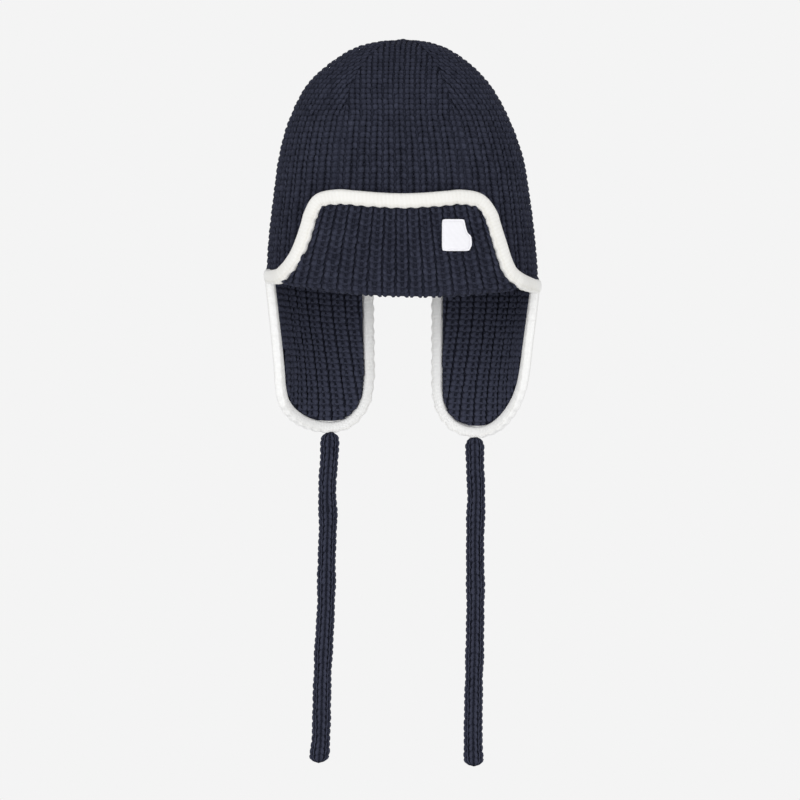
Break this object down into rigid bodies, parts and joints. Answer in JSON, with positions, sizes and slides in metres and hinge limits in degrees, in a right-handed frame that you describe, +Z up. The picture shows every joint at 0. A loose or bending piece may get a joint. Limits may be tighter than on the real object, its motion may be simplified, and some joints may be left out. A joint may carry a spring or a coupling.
{
  "type": "earflap beanie",
  "caption": "Rib-knit beanie with a turned-up front flap, hanging ear flaps, a contrast knitted edge binding, a bare woven label and two knitted ties.",
  "frame": {"origin": "middle of the head opening at the height of the hem, where the hat sits on a head", "axes": "+Z up to the gathered top of the crown, -Y out of the front flap, +X to the right of someone looking at the front"},
  "size_m": [0.2098, 0.1819, 0.5538],
  "materials": {
    "navy_knit": "matte chunky rib-knit wool yarn, dark navy",
    "cream_knit": "matte fine knitted tape, warm cream",
    "label_weave": "soft woven patch, white and bare"
  },
  "bodies": {
    "root": {"crown": "navy_knit", "front_flap": "navy_knit", "ear_flap_left": "navy_knit", "ear_flap_right": "navy_knit", "edge_binding": "cream_knit", "label": "label_weave", "tie_left": "navy_knit", "tie_right": "navy_knit"}
  },
  "joints": []
}
